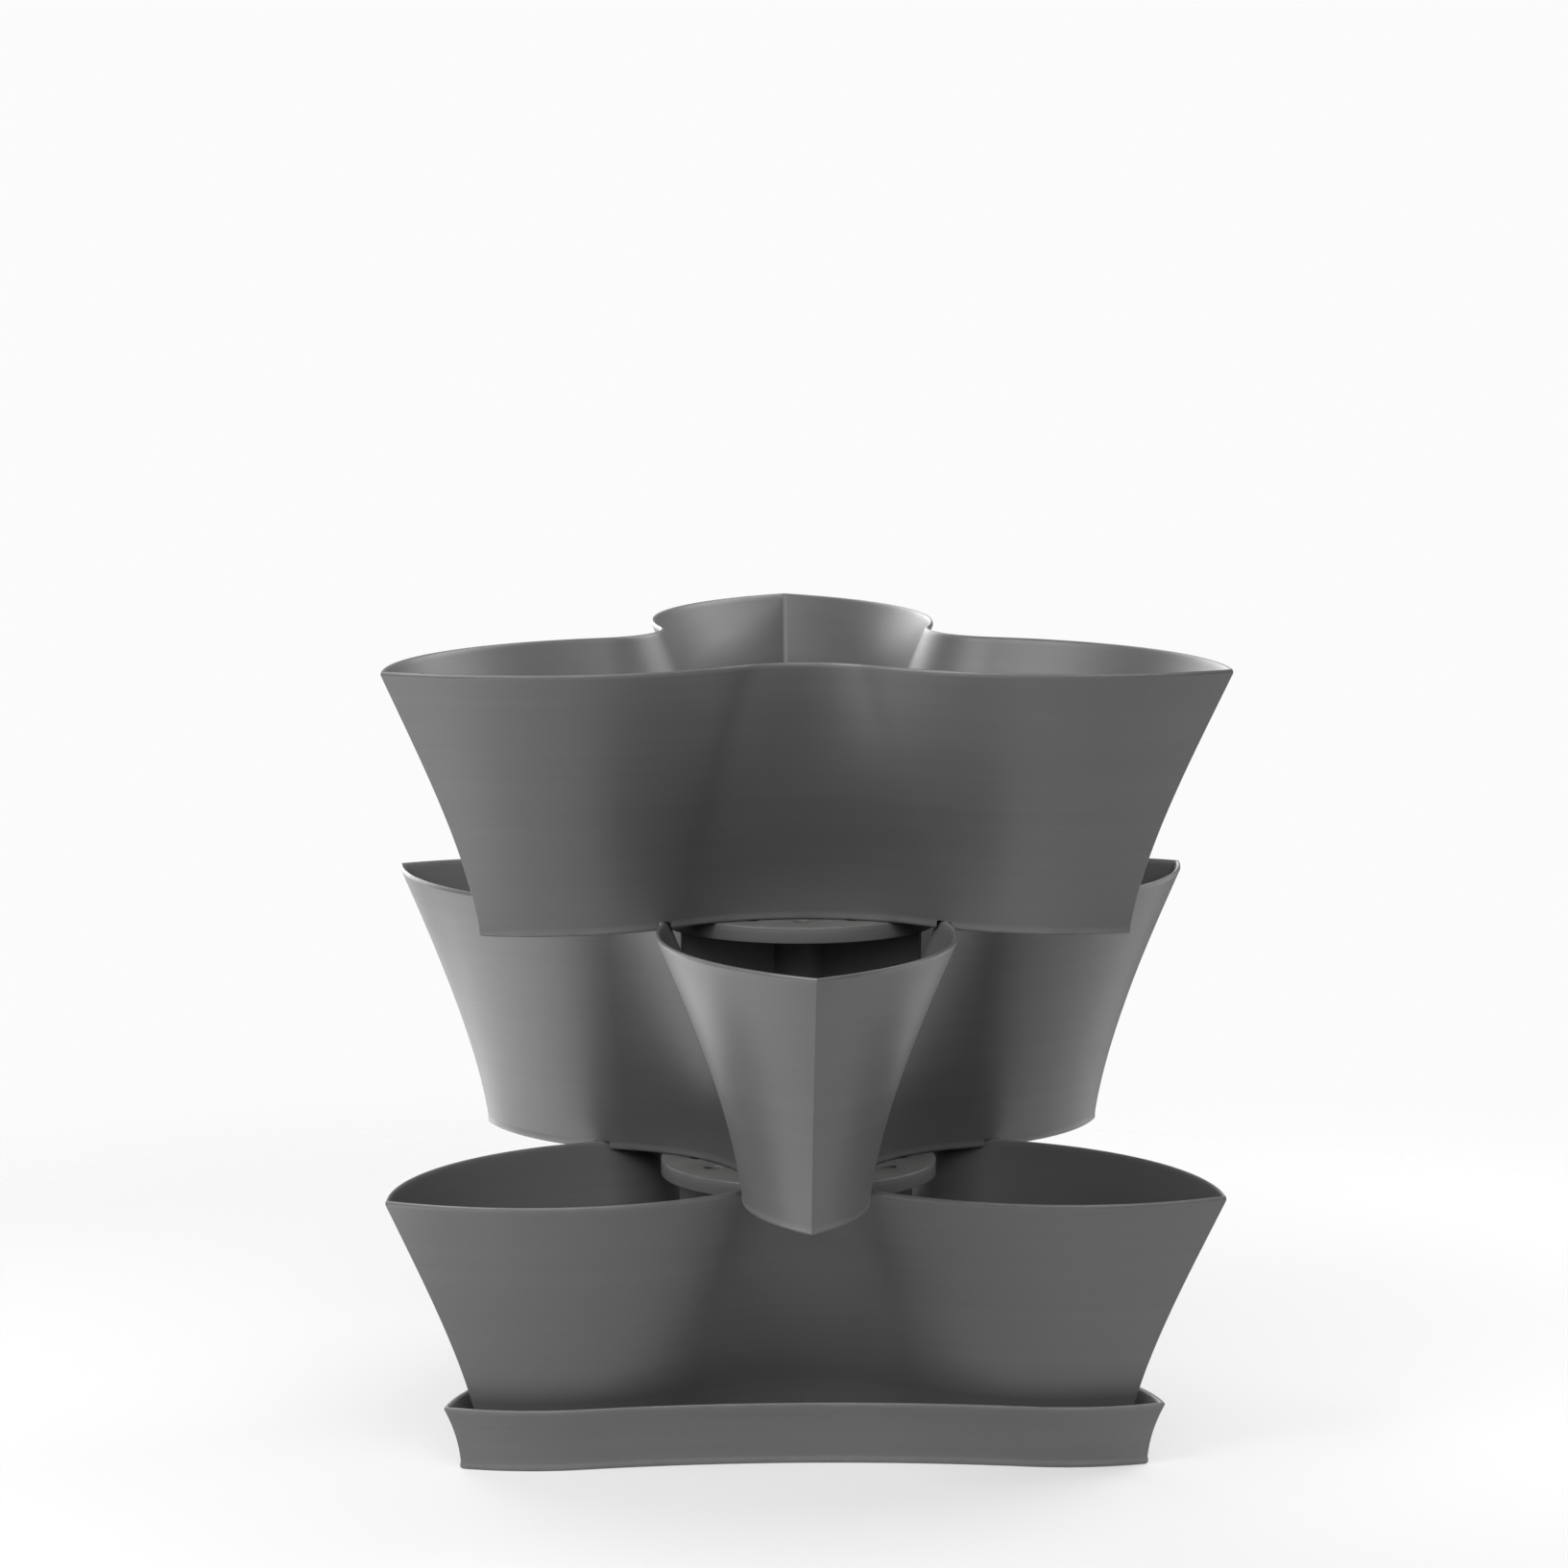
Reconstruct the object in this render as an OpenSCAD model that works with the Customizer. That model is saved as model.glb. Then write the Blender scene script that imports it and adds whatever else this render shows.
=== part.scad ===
// Vertical planter: three equal three-lobed pots stacked on one axis, each turned 60 degrees from the one
// below, in a three-lobed saucer. A deck on three fins inside each lower pot carries the pot above it.
// Origin: centre of the saucer's underside, +Z up, front towards -Y. Millimetres.

/* [Lobes] */
// Distance from the axis to the tip of a lobe, at a pot's rim
tip_r = 235; // [225:1:250]
// Radius of the convex flank of a lobe, at a pot's rim
flank_r = 151; // [148:1:158]
// Angle between a lobe's axis and its flank's outward normal at the tip
tip_turn = 31; // [29:0.5:32]
// Distance from the axis to the centre of a valley's arc, on a pot
valley_at = 129; // [126:1:140]

/* [Pots] */
// Height of one pot
pot_h = 132; // [115:1:160]
// How far the wall leans in from rim to foot
lean = 42.5; // [36:0.5:44]
// Share of the lean that bends the wall, so that it stands steeper near the foot
lean_bend_share = 0.33; // [0.1:0.01:0.45]
// Wall thickness
wall = 2.4; // [2:0.1:3]
// Thickness of a pot's floor
pot_floor_t = 2.4; // [2:0.1:4]
// How far a pot sinks over the rim of the pot below, and the height of its foot under the floor
nest = 4; // [3:0.5:6]
// Radius of the rim's edges
rim_edge_r = 1.1; // [0.6:0.1:1.1]
// Radius of the outer corner at the foot
foot_edge_r = 1.5; // [0.8:0.1:2]
// Gap on each side of a rim where it passes through a slot in the foot above
slot_gap = 0.8; // [0.5:0.1:1.5]
// Depth of the groove that a rim's slot leaves in the floor's underside
groove_h = 0.5; // [0.3:0.1:0.8]

/* [Drain holes] */
// Diameter of the drain holes in a pot's floor
drain_d = 8; // [5:0.5:10]
// Distance from the axis to a lobe's outer drain hole, which lies over the deck below
drain_at = 62; // [58:1:64]
// Step from it towards the axis to the lobe's two inner drain holes
drain_step = 20; // [16:1:24]
// Distance between those two
drain_pair = 26; // [20:1:30]

/* [Supports] */
// Radius of the deck that carries the pot above
deck_r = 69; // [60:1:76]
// Thickness of the deck
deck_t = 2.6; // [2:0.1:4]
// Height of the turned-down lip round the deck, deck included
lip_h = 8; // [5:0.5:12]
// Thickness of the lip
lip_t = 2; // [1.5:0.1:3]
// Thickness of a fin
fin_t = 2.6; // [2:0.1:4]
// Outer radius of the tube on the axis
tube_r = 15; // [12:0.5:20]
// Wall thickness of the tube
tube_wall = 2.4; // [2:0.1:3]
// Height of the tube's end over the pot's floor, so that water runs out of it
tube_lift = 4; // [2:0.5:10]
// Gap between a fin and the valley's wall beside it
fin_gap = 0.5; // [0.3:0.1:1]
// Diameter of the holes in the deck
deck_hole_d = 9; // [6:0.5:12]
// Distance from the axis to the inner ring of holes in the deck
deck_hole_at = 29; // [26:1:34]
// Distance between the two rings of holes in the deck
deck_hole_step = 21; // [16:1:22]

/* [Saucer] */
// Height of the saucer
saucer_h = 32; // [24:1:45]
// How far the saucer's rim lies inside the pots' rim
saucer_rim_in = 26; // [22:0.5:28]
// How far the saucer's foot lies inside the pots' rim
saucer_foot_in = 33.5; // [30:0.5:36]
// Share of the saucer's lean that bends its wall
saucer_bend_share = 0.9; // [0.2:0.05:0.95]
// Distance from the axis to the centre of the saucer's shallow valley arc
saucer_valley_at = 670; // [500:10:900]
// Height of the foot band
band_h = 3.2; // [2.5:0.1:4]
// How far the foot band stands out from the wall above it
band_out = 0.4; // [0.2:0.1:0.8]
// Radius of the foot band's lower edge
band_edge_r = 1.8; // [0.8:0.1:2]
// Width of the ring that the saucer stands on
band_w = 5; // [3:0.5:10]
// Height of the saucer's floor, where the bottom pot stands
seat_z = 6; // [5:0.5:10]

/* [Hidden] */

lobes = 3;
lobe_turn = 360 / lobes;
valley_turn = lobe_turn / 2;
pitch = pot_h - nest;
pot_floor_z = nest + pot_floor_t;

// Steps along a flank, along half a valley, up a wall, down its inside and round an edge
flank_steps = 10;
valley_steps = 4;
outer_steps = 6;
inner_steps = 5;
edge_steps = 2;
$fn = 64;
// How far a cut runs past the surface that it opens
over = 1;

pot_grey = [0.36, 0.36, 0.36];
support_grey = [0.39, 0.39, 0.39];

// Centre of the flank on the +Y side of the lobe that lies along +X
flank_c = [tip_r - flank_r * cos(tip_turn), -flank_r * sin(tip_turn)];

function polar(r, a) = r * [cos(a), sin(a)];
function turned(p, a) = [p[0] * cos(a) - p[1] * sin(a), p[0] * sin(a) + p[1] * cos(a)];
function arc(c, r, a0, a1, n) = [for (i = [0:n]) c + polar(r, a0 + (a1 - a0) * i / n)];

// Direction from the flank's centre to the valley's centre, where the two arcs meet
function join_turn(at) = let (v = polar(at, valley_turn) - flank_c) atan2(v[1], v[0]);
// Radius of the valley's arc that runs smoothly into the flanks
function valley_r(at) = norm(polar(at, valley_turn) - flank_c) - flank_r;

// From a lobe's tip to the middle of the next valley, set in by an inset that keeps both arcs' centres
function half_lobe(inset, at) = let (r = flank_r - inset, join = join_turn(at))
    concat(
        arc(flank_c, r, asin(-flank_c[1] / r), join, flank_steps),
        [for (i = [1:valley_steps])
            polar(at, valley_turn)
            + polar(valley_r(at) + inset, join + 180 + (valley_turn - join) * i / valley_steps)]);

// One lobe from valley to valley, without the point that the lobe before it ends on
function lobe(inset, at) = let (h = half_lobe(inset, at), n = len(h) - 1)
    concat([for (i = [n - 1:-1:1]) [h[i][0], -h[i][1]]], h);

function outline(inset, at) =
    [for (k = [0:lobes - 1]) each [for (p = lobe(inset, at)) turned(p, lobe_turn * k)]];

// Inset of a pot's outer wall at height z: a straight lean, bent by a cubic towards the foot
function pot_in(z) = let (s = 1 - z / pot_h) lean * ((1 + lean_bend_share) * s - lean_bend_share * pow(s, 3));

// Inset of the saucer's outer wall at height z: a straight lean, bent by a parabola towards the foot
function saucer_in(z) = let (s = 1 - z / saucer_h)
    saucer_rim_in + (saucer_foot_in - saucer_rim_in) * ((1 + saucer_bend_share) * s - saucer_bend_share * s * s);

// Radius of a pot's valley at height z, measured from the axis to the inside of the wall
function inner_valley(z) = valley_at - valley_r(valley_at) - pot_in(z) - wall;

// Inset of the outer wall of the saucer or of a pot at height z
function wall_in(z, of_saucer) = of_saucer ? saucer_in(z) : pot_in(z);

// Both rounded edges of the rim at height h as [inset, height], from outside to inside
function rim(h, of_saucer) = let (z0 = h - rim_edge_r)
    concat(
        [for (i = [0:edge_steps]) let (a = 90 * i / edge_steps, z = z0 + rim_edge_r * sin(a))
            [wall_in(z, of_saucer) + rim_edge_r * (1 - cos(a)), z]],
        [for (i = [0:edge_steps]) let (a = 90 - 90 * i / edge_steps, z = z0 + rim_edge_r * sin(a))
            [wall_in(z, of_saucer) + wall - rim_edge_r * (1 - cos(a)), z]]);

// A pot's section as [inset, height]: under the floor, round the foot, up, over the rim and down to the floor
function pot_section() = concat(
    [[pot_in(nest) + wall, nest], [pot_in(0) + wall, 0]],
    [for (i = [0:edge_steps]) let (a = 90 * i / edge_steps, z = foot_edge_r * (1 - cos(a)))
        [pot_in(z) + foot_edge_r * (1 - sin(a)), z]],
    [for (i = [1:outer_steps - 1]) let (z = foot_edge_r + (pot_h - rim_edge_r - foot_edge_r) * i / outer_steps)
        [pot_in(z), z]],
    rim(pot_h, false),
    [for (i = [1:inner_steps]) let (z = pot_h - rim_edge_r - (pot_h - rim_edge_r - pot_floor_z) * i / inner_steps)
        [pot_in(z) + wall, z]]);

// The saucer's section: under its floor, round the foot band, up, over the rim and down to the floor
function saucer_section() = let (band_in = saucer_in(band_h) - band_out, z1 = saucer_h - rim_edge_r)
    concat(
        [[band_in + band_w, band_h], [band_in + band_w, 0]],
        [for (i = [0:edge_steps]) let (a = 90 * i / edge_steps)
            [band_in + band_edge_r * (1 - sin(a)), band_edge_r * (1 - cos(a))]],
        [[band_in, band_h]],
        [for (i = [0:inner_steps - 1]) let (z = band_h + (z1 - band_h) * i / inner_steps) [saucer_in(z), z]],
        rim(saucer_h, true),
        [for (i = [1:inner_steps]) let (z = z1 - (z1 - seat_z) * i / inner_steps) [saucer_in(z) + wall, z]]);

// A closed body whose level sections are the outline, set in and raised as the section's points say
// Both ends are closed by triangles from the axis, which sees every point of the outline.
module loft(section, at) {
    rings = [for (p = section) [for (q = outline(p[0], at)) [q[0], q[1], p[1]]]];
    n = len(rings[0]);
    m = len(rings);
    polyhedron(
        points = concat([for (r = rings) each r], [[0, 0, section[0][1]], [0, 0, section[m - 1][1]]]),
        faces = [for (j = [0:n - 1]) let (k = (j + 1) % n, top = (m - 1) * n) each concat(
            [[m * n, j, k], [m * n + 1, top + k, top + j]],
            [for (i = [0:m - 2]) [i * n + j, (i + 1) * n + j, (i + 1) * n + k]],
            [for (i = [0:m - 2]) [i * n + j, (i + 1) * n + k, i * n + k]])],
        convexity = 6);
}

// The space that the rim of the pot below takes in this pot's foot, and a shallow groove over it
module rim_slots() {
    translate([0, 0, -over])
        rotate(valley_turn)
            linear_extrude(nest + groove_h + over)
                difference() {
                    polygon(outline(-slot_gap, valley_at));
                    polygon(outline(pot_in(pot_h - nest) + wall + slot_gap, valley_at));
                }
}

module drain(at) {
    translate([at[0], at[1], nest - over])
        cylinder(d = drain_d, h = pot_floor_t + 2 * over);
}

// Three drain holes at the root of each lobe, all over the deck of the support below
module drains() {
    inner_at = drain_at - drain_step;
    for (k = [0:lobes - 1], at = [[drain_at, 0], [inner_at, drain_pair / 2], [inner_at, -drain_pair / 2]])
        rotate(lobe_turn * k)
            drain(at);
}

// A pot with one lobe along +X, standing on z = 0
module pot() {
    color(pot_grey)
        difference() {
            loft(pot_section(), valley_at);
            rim_slots();
            drains();
        }
}

// A fin on +X: its outer edge follows the valley's wall from the floor up to the lip
module fin() {
    z1 = pitch - deck_t;
    top_reach = deck_r - lip_t / 2;
    rotate([90, 0, 0])
        translate([0, 0, -fin_t / 2])
            linear_extrude(fin_t)
                polygon(concat(
                    [[tube_r - tube_wall / 2, pot_floor_z]],
                    [for (i = [0:inner_steps]) let (z = pot_floor_z + (z1 - pot_floor_z) * i / inner_steps)
                        [min(inner_valley(z) - fin_gap, top_reach), z]],
                    [[top_reach, z1 + deck_t / 2], [tube_r - tube_wall / 2, z1 + deck_t / 2]]));
}

// The support in its pot's own frame, with one fin along +X, in a valley's direction
module support() {
    color(support_grey)
        difference() {
            union() {
                translate([0, 0, pitch - deck_t])
                    cylinder(r = deck_r, h = deck_t);
                difference() {
                    translate([0, 0, pitch - lip_h])
                        cylinder(r = deck_r, h = lip_h);
                    translate([0, 0, pitch - lip_h - over])
                        cylinder(r = deck_r - lip_t, h = lip_h);
                }
                translate([0, 0, pot_floor_z + tube_lift])
                    cylinder(r = tube_r, h = pitch - pot_floor_z - tube_lift - deck_t / 2);
                for (k = [0:lobes - 1])
                    rotate(lobe_turn * k)
                        fin();
            }
            translate([0, 0, pot_floor_z - over])
                cylinder(r = tube_r - tube_wall, h = pitch - pot_floor_z + 2 * over);
            for (k = [0:lobes - 1])
                rotate(lobe_turn * k + valley_turn)
                    deck_holes();
        }
}

// Holes through the deck between two fins
module deck_holes() {
    translate([deck_hole_at, 0, pitch - deck_t - over])
        cylinder(d = deck_hole_d, h = deck_t + 2 * over);
    for (a = [-valley_turn / 2, 0, valley_turn / 2])
        rotate(a)
            translate([deck_hole_at + deck_hole_step, 0, pitch - deck_t - over])
                cylinder(d = deck_hole_d, h = deck_t + 2 * over);
}

// Puts a piece of tier 0, 1 or 2 in place: lobes to the back and front corners, or turned over to the front
module tier(level) {
    translate([0, 0, seat_z + level * pitch])
        rotate(90 + valley_turn * (level % 2))
            children();
}

module saucer() {
    color(pot_grey)
        rotate(90)
            loft(saucer_section(), saucer_valley_at);
}

module bottom_pot() {
    tier(0)
        pot();
}

module lower_support() {
    tier(0)
        rotate(valley_turn)
            support();
}

module middle_pot() {
    tier(1)
        pot();
}

module upper_support() {
    tier(1)
        rotate(valley_turn)
            support();
}

module top_pot() {
    tier(2)
        pot();
}

saucer();
bottom_pot();
lower_support();
middle_pot();
upper_support();
top_pot();
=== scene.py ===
"""Vertical planter: three equal trefoil pots in a stack, two deck supports and a saucer.

Every shell is one family of parallel curves. A lobe's flank is an arc about a fixed centre, a valley is an
arc that meets it tangentially, and going up the wall only the inset from the rim's outline changes.
"""
import math
from functools import partial

import bmesh
import bpy
import numpy as np
from bpy.props import FloatProperty, FloatVectorProperty, IntProperty, PointerProperty
from mathutils import Matrix, Vector


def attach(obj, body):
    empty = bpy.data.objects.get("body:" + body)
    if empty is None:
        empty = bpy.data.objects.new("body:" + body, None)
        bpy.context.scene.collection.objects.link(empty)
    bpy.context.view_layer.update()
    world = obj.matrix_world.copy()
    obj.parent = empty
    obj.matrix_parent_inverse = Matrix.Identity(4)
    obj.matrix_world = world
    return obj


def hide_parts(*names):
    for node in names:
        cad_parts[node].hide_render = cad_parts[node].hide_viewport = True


bl_info = {
    "name": "Vertical planter",
    "version": (1, 0, 0),
    "blender": (4, 5, 0),
    "location": "View3D > Sidebar > Planter",
    "description": "Makes the visible pieces of a stacked trefoil planter, with their materials, and a stage",
    "category": "Object",
}

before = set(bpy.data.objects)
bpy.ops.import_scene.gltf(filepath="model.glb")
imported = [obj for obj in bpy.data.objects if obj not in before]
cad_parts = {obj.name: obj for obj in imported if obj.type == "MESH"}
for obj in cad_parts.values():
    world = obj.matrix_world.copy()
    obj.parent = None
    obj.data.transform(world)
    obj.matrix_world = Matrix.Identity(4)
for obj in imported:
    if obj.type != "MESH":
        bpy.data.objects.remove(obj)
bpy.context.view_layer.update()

LOBES = 3
LOBE_TURN = 2 * math.pi / LOBES
VALLEY_TURN = LOBE_TURN / 2
QUARTER = math.pi / 2
LEVELS = ("bottom_pot", "middle_pot", "top_pot")
SUPPORTS = ("lower_support", "upper_support")

# In metres: radii of small edges, how far cutters reach past a face, and how near corners lie to be joined
FINE_EDGE = 0.0004
HOLE_EDGE = 0.0005
OVERCUT = 0.001
WELD = 0.000002
# Neighbouring faces that turn by more than this meet in a sharp edge
SHARP_FROM = math.radians(32)


def length(name, default, description):
    """A length in metres that a user can change."""
    return FloatProperty(name=name, default=default, description=description, unit="LENGTH", precision=4)


def share(name, default, description):
    """A share from 0 to 1 that a user can change."""
    return FloatProperty(name=name, default=default, description=description, min=0.0, max=1.0,
                         subtype="FACTOR")


def tone(name, default, description):
    """A colour that a user can change."""
    return FloatVectorProperty(name=name, default=default, description=description, size=3, subtype="COLOR")


class TrefoilSizes(bpy.types.PropertyGroup):
    """The outline that all the shells share."""

    tip: length("Tip", 0.235, "Distance from the axis to a lobe's sharp tip, at a pot's rim")
    flank: length("Flank", 0.151, "Radius of a lobe's convex flank, at a pot's rim")
    tip_turn: FloatProperty(name="Tip turn", default=math.radians(31), subtype="ANGLE",
                            description="Angle between a lobe's axis and its flank's normal at the tip")
    pot_valley: length("Pot valley", 0.129, "Distance from the axis to the centre of a pot's valley arc")
    saucer_valley: length("Saucer valley", 0.670, "The same for the saucer")
    ridge: length("Ridge radius", 0.0005, "Radius of the outer edge down a lobe's tip")
    groove: length("Groove radius", 0.002, "Radius of the inner corner down a lobe's tip")


class PotSizes(bpy.types.PropertyGroup):
    """A pot's section."""

    height: length("Height", 0.132, "Height of a pot")
    lean: length("Lean", 0.0425, "How far the wall leans in from rim to foot")
    bend: FloatProperty(name="Bend", default=0.33, description="Share of the lean that bends the wall")
    wall: length("Wall", 0.0024, "Wall thickness")
    floor: length("Floor", 0.0024, "Thickness of the floor")
    nest: length("Nest", 0.004, "How far a pot sinks over the rim below, and the height of its foot")
    rim_edge: length("Rim edge", 0.0010, "Radius of the rim's inner edge")
    rim_round: length("Rim round", 0.0014, "Width of the rim's outer round")
    rim_drop: length("Rim drop", 0.0021, "Height of the rim's outer round")
    rim_flat: FloatProperty(name="Rim flatness", default=1.5, min=1.0, max=2.0,
                            description="How near the outer round comes to a chamfer: 1 is round, 2 is flat")
    foot_edge: length("Foot edge", 0.0015, "Radius of the outer corner at the foot")
    fillet: length("Floor fillet", 0.003, "Radius between the wall and the floor inside")
    slot_gap: length("Slot gap", 0.0008, "Gap beside a rim that passes through the foot above")
    drain: length("Drain hole", 0.004, "Radius of a drain hole")
    drain_at: length("Outer drain", 0.062, "Distance from the axis to a lobe's outer drain hole")
    drain_step: length("Drain step", 0.020, "Step from it towards the axis to the two inner drain holes")
    drain_pair: length("Drain pair", 0.026, "Distance between those two")


class SupportSizes(bpy.types.PropertyGroup):
    """A support: a deck on three fins round a tube."""

    deck: length("Deck radius", 0.069, "Radius of the deck")
    deck_t: length("Deck thickness", 0.0026, "Thickness of the deck")
    lip_h: length("Lip height", 0.008, "Height of the lip round the deck, deck included")
    lip_t: length("Lip thickness", 0.002, "Thickness of the lip")
    fin_t: length("Fin thickness", 0.0026, "Thickness of a fin")
    fin_gap: length("Fin gap", 0.0005, "Gap between a fin and the valley's wall")
    tube: length("Tube radius", 0.015, "Outer radius of the tube")
    tube_wall: length("Tube wall", 0.0024, "Wall thickness of the tube")
    tube_lift: length("Tube lift", 0.004, "Height of the tube's end over the pot's floor")
    hole: length("Deck hole", 0.0045, "Radius of a hole in the deck")
    hole_at: length("Inner ring", 0.029, "Distance from the axis to the inner holes in the deck")
    hole_step: length("Ring step", 0.021, "Distance between the two rings of holes")
    edge: length("Edge radius", 0.0005, "Radius of the moulded edges")


class SaucerSizes(bpy.types.PropertyGroup):
    """The saucer's section."""

    height: length("Height", 0.032, "Height of the saucer")
    rim_in: length("Rim inset", 0.026, "How far its rim lies inside the pots' rim")
    foot_in: length("Foot inset", 0.0335, "How far its foot lies inside the pots' rim")
    bend: FloatProperty(name="Bend", default=0.9, description="Share of the lean that bends the wall")
    rim_round: length("Rim round", 0.0008, "Width of the rim's outer round")
    rim_drop: length("Rim drop", 0.0012, "Height of the rim's outer round")
    band_h: length("Band height", 0.0032, "Height of the foot band")
    band_out: length("Band stand-out", 0.0003, "How far the foot band stands out from the wall above it")
    band_edge: length("Band edge", 0.0018, "Radius of the foot band's lower edge")
    band_blend: length("Band blend", 0.0008, "Half the height of the blend from the foot band into the wall")
    band_w: length("Band width", 0.005, "Width of the ring that the saucer stands on")
    seat: length("Seat", 0.006, "Height of the floor that the bottom pot stands on")


class PlasticFinish(bpy.types.PropertyGroup):
    """The moulded plastic."""

    pot: tone("Pot colour", (0.108, 0.108, 0.107), "Colour of the pots")
    # Painted light: the saucer's colour is a shade lighter than the pots' to stand in for more light on its
    # wall
    saucer: tone("Saucer colour", (0.119, 0.119, 0.118), "Colour of the saucer, a shade lighter")
    support: tone("Support colour", (0.125, 0.125, 0.124), "Colour of the supports")
    roughness: share("Roughness", 0.4, "Roughness of the matt skin")
    lines: share("Tool lines", 0.032, "How much lighter or darker the level tool lines are")
    grain: share("Grain", 0.03, "How much lighter or darker the grain is")
    # How much lighter the rims and feet are: worn plastic, and a painted highlight along their edges
    wear_and_highlight: share("Wear", 0.27, "How much lighter the rubbed rims and feet are")
    dust: share("Dust", 0.10, "How much dust covers what faces up")


class StageSettings(bpy.types.PropertyGroup):
    """Floor, backdrop and light."""

    floor_colour: tone("Floor colour", (0.81, 0.81, 0.81), "Colour of the floor")
    veil: share("Floor veil", 0.4, "Share of the plain backdrop in the floor that the camera sees")
    backdrop: FloatProperty(name="Backdrop", default=0.965,
                            description="How bright the backdrop is, 1 is white")
    fade_from: length("Fade from", 0.38, "Distance from the axis where the floor begins to fade out")
    fade_to: length("Fade to", 0.95, "Distance from the axis where the floor is gone")
    behind: FloatProperty(name="Light from behind", default=0.08,
                          description="How bright the room is behind the object")
    ahead: FloatProperty(name="Light from ahead", default=0.02,
                         description="How bright the room is on the camera's side")


class Planter(bpy.types.PropertyGroup):
    """Everything that a user would change."""

    trefoil: PointerProperty(type=TrefoilSizes)
    pot: PointerProperty(type=PotSizes)
    support: PointerProperty(type=SupportSizes)
    saucer: PointerProperty(type=SaucerSizes)
    finish: PointerProperty(type=PlasticFinish)
    stage: PointerProperty(type=StageSettings)
    fineness: IntProperty(name="Fineness", default=3, min=1, max=4, description="Steps along the curves")


def spread(n, crowd=0.0):
    """n + 1 shares from 0 to 1. With crowd, the first and last steps are only that share long."""
    if not crowd:
        return np.linspace(0.0, 1.0, n + 1)
    return np.concatenate([[0.0], np.linspace(crowd, 1.0 - crowd, n - 1), [1.0]])


def trefoil(sizes, inset, valley_at, ridge, fineness):
    """Closed trefoil curves, one for each inset, as an array of curves by points by XY.

    Flank: centre c, radius flank - inset, from the ridge's end to the direction from c to the valley's
    centre v.
    Ridge: an arc of the given radius on the lobe's axis that touches both flanks from inside, so its centre
    is where the circle about c of radius flank - inset - ridge crosses the axis.
    Valley: centre v, radius |v - c| - flank + inset, bulging inwards.
    The mirrored half comes first, and three turned copies make the curve.
    """
    inset = np.atleast_1d(np.asarray(inset, float))[:, None]
    ridge = np.broadcast_to(np.atleast_1d(np.asarray(ridge, float))[:, None], inset.shape)
    cx = sizes.tip - sizes.flank * math.cos(sizes.tip_turn)
    cy = -sizes.flank * math.sin(sizes.tip_turn)
    vx, vy = valley_at * math.cos(VALLEY_TURN), valley_at * math.sin(VALLEY_TURN)
    join = math.atan2(vy - cy, vx - cx)
    valley_r = math.hypot(vx - cx, vy - cy) - sizes.flank
    reach = sizes.flank - inset
    turn = np.arcsin(-cy / (reach - ridge))
    ridge_x = cx + (reach - ridge) * np.cos(turn)

    a = turn * spread(4)[None, :-1]
    ridge_part = np.stack([ridge_x + ridge * np.cos(a), ridge * np.sin(a)], -1)
    a = turn + (join - turn) * spread(14 * fineness, 0.002)[None, :]
    flank_part = np.stack([cx + reach * np.cos(a), cy + reach * np.sin(a)], -1)
    a = join + math.pi + (VALLEY_TURN - join) * spread(5 * fineness)[None, 1:]
    valley_part = np.stack([vx + (valley_r + inset) * np.cos(a), vy + (valley_r + inset) * np.sin(a)], -1)

    half = np.concatenate([ridge_part, flank_part, valley_part], 1)
    mirrored = half[:, -2:0:-1] * [1, -1]
    lobe = np.concatenate([mirrored, half], 1)
    turns = [np.array([[math.cos(t), math.sin(t)], [-math.sin(t), math.cos(t)]])
             for t in LOBE_TURN * np.arange(LOBES)]
    return np.concatenate([lobe @ t for t in turns], 1)


def pitch_of(pot):
    """The step from one pot to the next."""
    return pot.height - pot.nest


def pot_inset(pot, z):
    """Inset of a pot's outer wall at height z, upright along the foot.

    With s = 1 - z / height, and z no less than the foot's height, it is lean * ((1 + bend) s - bend s^3).
    """
    s = 1 - np.maximum(np.asarray(z, float), pot.nest) / pot.height
    return pot.lean * ((1 + pot.bend) * s - pot.bend * s ** 3)


def saucer_inset(saucer, z):
    """Inset of the saucer's outer wall: a straight lean between rim and foot, bent by a parabola."""
    s = 1 - np.asarray(z, float) / saucer.height
    return saucer.rim_in + (saucer.foot_in - saucer.rim_in) * ((1 + saucer.bend) * s - saucer.bend * s * s)


def quarter(n=5):
    """Angles of a quarter round."""
    return np.linspace(0.0, QUARTER, n + 1)


def rim_rows(inset_at, height, pot, width, drop):
    """A rim's edges: a flattened quarter ellipse up from the outer wall, a quarter round down to the inner.

    The quarter ellipse is width by drop, and has its sines and cosines to the power of rim_flat, where 2
    would be a plain chamfer.
    """
    a = quarter(8)
    z = height - drop * (1 - np.sin(a) ** pot.rim_flat)
    outside = np.stack([inset_at(z) + width * (1 - np.cos(a) ** pot.rim_flat), z], -1)
    a = quarter()[::-1]
    z = height - pot.rim_edge * (1 - np.sin(a))
    inside = np.stack([inset_at(z) + pot.wall - pot.rim_edge * (1 - np.cos(a)), z], -1)
    return outside, inside


def inner_rows(inset_at, height, wall, edge, floor_z, fillet, steps):
    """Inner wall from the rim down, then a quarter round of the fillet's radius out onto the floor."""
    z = height - edge + (floor_z + fillet - height + edge) * spread(steps, 0.01)[1:]
    down = np.stack([inset_at(z) + wall, z], -1)
    a = quarter(6)[1:]
    z = floor_z + fillet * (1 - np.sin(a))
    out = np.stack([inset_at(z) + wall + fillet * (1 - np.cos(a)), z], -1)
    return np.concatenate([down, out])


def in_three(below, outer, inner):
    """The rows of a section, and the row numbers where its outer face begins and ends."""
    below, outer, inner = (np.concatenate(rows) for rows in (below, outer, inner))
    return np.concatenate([below, outer, inner]), len(below), len(below) + len(outer)


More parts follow.
